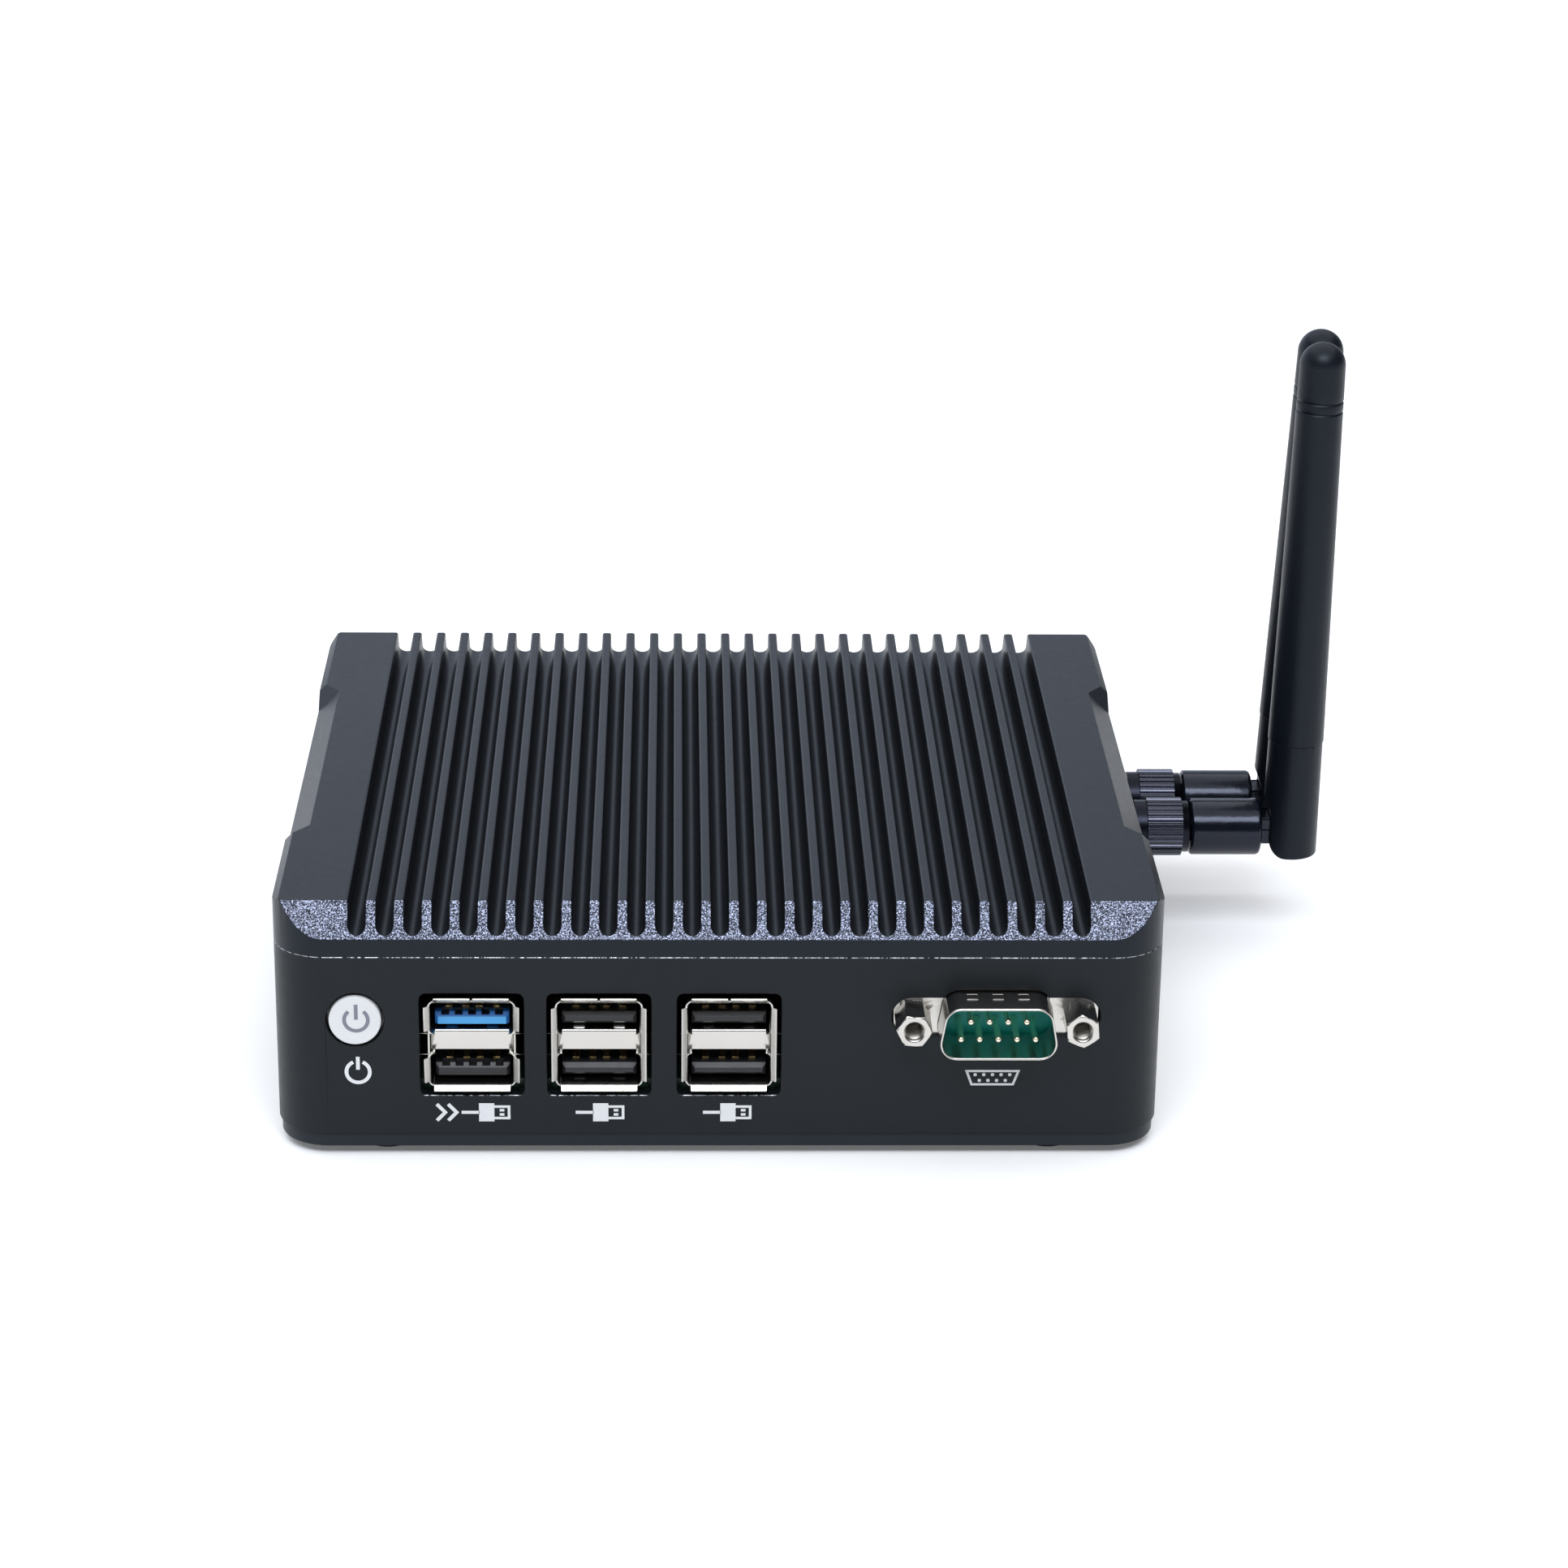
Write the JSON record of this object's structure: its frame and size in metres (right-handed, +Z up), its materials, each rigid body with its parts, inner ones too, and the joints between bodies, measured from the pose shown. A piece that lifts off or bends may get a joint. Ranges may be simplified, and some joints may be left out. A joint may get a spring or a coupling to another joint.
{
  "type": "fanless mini pc",
  "caption": "Small fanless computer: finned aluminium lid on a black box frame, ports front and rear, and hinged whip antennas on one side.",
  "frame": {"origin": "centre of the case, without its antennas, in the plane that the four feet stand on", "axes": "+Z up, -Y out of the front panel, +X out of the side that the antennas screw on to"},
  "size_m": [0.1689, 0.1327, 0.1043],
  "materials": {
    "anodised_lid": "blasted and anodised dark blue-grey",
    "black_frame": "satin black powder coat",
    "black_plate": "satin black",
    "foot_rubber": "matte",
    "black_screw": "black oxide",
    "white_button": "smooth moulded",
    "black_plastic": "moulded",
    "blue_plastic": "moulded",
    "teal_plastic": "moulded",
    "bright_nickel": "nickel plate",
    "nickel": "nickel plate",
    "gold_contact": "gold flash",
    "brass": "machined",
    "circuit_board": "solder mask",
    "dark_package": "moulded",
    "thermal_pad": "soft",
    "bare_aluminium": "machined",
    "cable_sheath": "smooth",
    "gunmetal": "dark nickel, knurled",
    "antenna_base": "satin moulded",
    "antenna_rubber": "soft satin"
  },
  "bodies": {
    "case": {"top_heatsink": "anodised_lid", "mid_frame": "black_frame", "bottom_plate": "black_plate", "rubber_feet": "foot_rubber", "case_screws": "black_screw", "power_switch": "nickel", "button_board": "circuit_board", "usb_left_shell": "bright_nickel", "usb_middle_shell": "bright_nickel", "usb_right_shell": "bright_nickel", "usb_left_body": "black_plastic", "usb_left_blue_tongue": "blue_plastic", "usb_middle_body": "black_plastic", "usb_right_body": "black_plastic", "usb_contacts": "gold_contact", "com_shell": "bright_nickel", "com_body": "teal_plastic", "com_pins": "gold_contact", "com_jackscrews": "bright_nickel", "dc_jack_body": "black_plastic", "dc_jack_pin": "nickel", "hdmi_shell": "bright_nickel", "hdmi_tongue": "black_plastic", "lan_shells": "bright_nickel", "lan_inserts": "black_plastic", "audio_jacks": "black_plastic", "motherboard": "circuit_board", "board_standoffs": "brass", "board_screws": "nickel", "processor": "dark_package", "thermal_pad": "thermal_pad", "heat_block": "bare_aluminium", "memory_socket": "black_plastic", "memory_module": "circuit_board", "storage_card": "circuit_board", "wifi_card": "circuit_board", "card_sockets": "black_plastic", "card_screws": "nickel", "coin_cell": "nickel", "coin_cell_holder": "black_plastic", "power_inductors": "dark_package", "capacitors": "bare_aluminium", "antenna_panel_nuts": "nickel", "antenna_cables": "cable_sheath", "front_antenna_socket": "brass", "rear_antenna_socket": "brass"},
    "power_button": {"power_button": "white_button", "switch_plunger": "black_plastic"},
    "front_coupling_nut": {"front_coupling_nut": "gunmetal"},
    "front_antenna_base": {"front_antenna_barrel": "antenna_base", "front_hinge_pin": "nickel"},
    "front_antenna_whip": {"front_antenna_knuckle": "antenna_base", "front_antenna_whip": "antenna_rubber"},
    "rear_coupling_nut": {"rear_coupling_nut": "gunmetal"},
    "rear_antenna_base": {"rear_antenna_barrel": "antenna_base", "rear_hinge_pin": "nickel"},
    "rear_antenna_whip": {"rear_antenna_knuckle": "antenna_base", "rear_antenna_whip": "antenna_rubber"}
  },
  "joints": [
    {"name": "power_button_press", "type": "slide", "parent": "case", "child": "power_button", "axis": [0, 1, 0], "range_m": [0, 0.0008], "stiffness_N_per_m": 600, "springref_m": -0.0008},
    {"name": "front_nut_turn", "type": "hinge", "parent": "case", "child": "front_coupling_nut", "pos_m": [0.0746, 0.02, 0.0203], "axis": [1, 0, 0], "continuous": true},
    {"name": "front_antenna_swivel", "type": "hinge", "parent": "case", "child": "front_antenna_base", "pos_m": [0.0816, 0.02, 0.0203], "axis": [1, 0, 0], "range_deg": [0, 90]},
    {"name": "front_antenna_tilt", "type": "hinge", "parent": "front_antenna_base", "child": "front_antenna_whip", "pos_m": [0.0972, 0.02, 0.0203], "axis": [0, 1, 0], "range_deg": [-0.65, 89.35]},
    {"name": "rear_nut_turn", "type": "hinge", "parent": "case", "child": "rear_coupling_nut", "pos_m": [0.0746, 0.033, 0.0203], "axis": [1, 0, 0], "continuous": true},
    {"name": "rear_antenna_swivel", "type": "hinge", "parent": "case", "child": "rear_antenna_base", "pos_m": [0.0816, 0.033, 0.0203], "axis": [1, 0, 0], "range_deg": [-90, 0]},
    {"name": "rear_antenna_tilt", "type": "hinge", "parent": "rear_antenna_base", "child": "rear_antenna_whip", "pos_m": [0.0972, 0.033, 0.0203], "axis": [0, 0.9984, 0.0558], "range_deg": [-1.3, 88.7]}
  ]
}
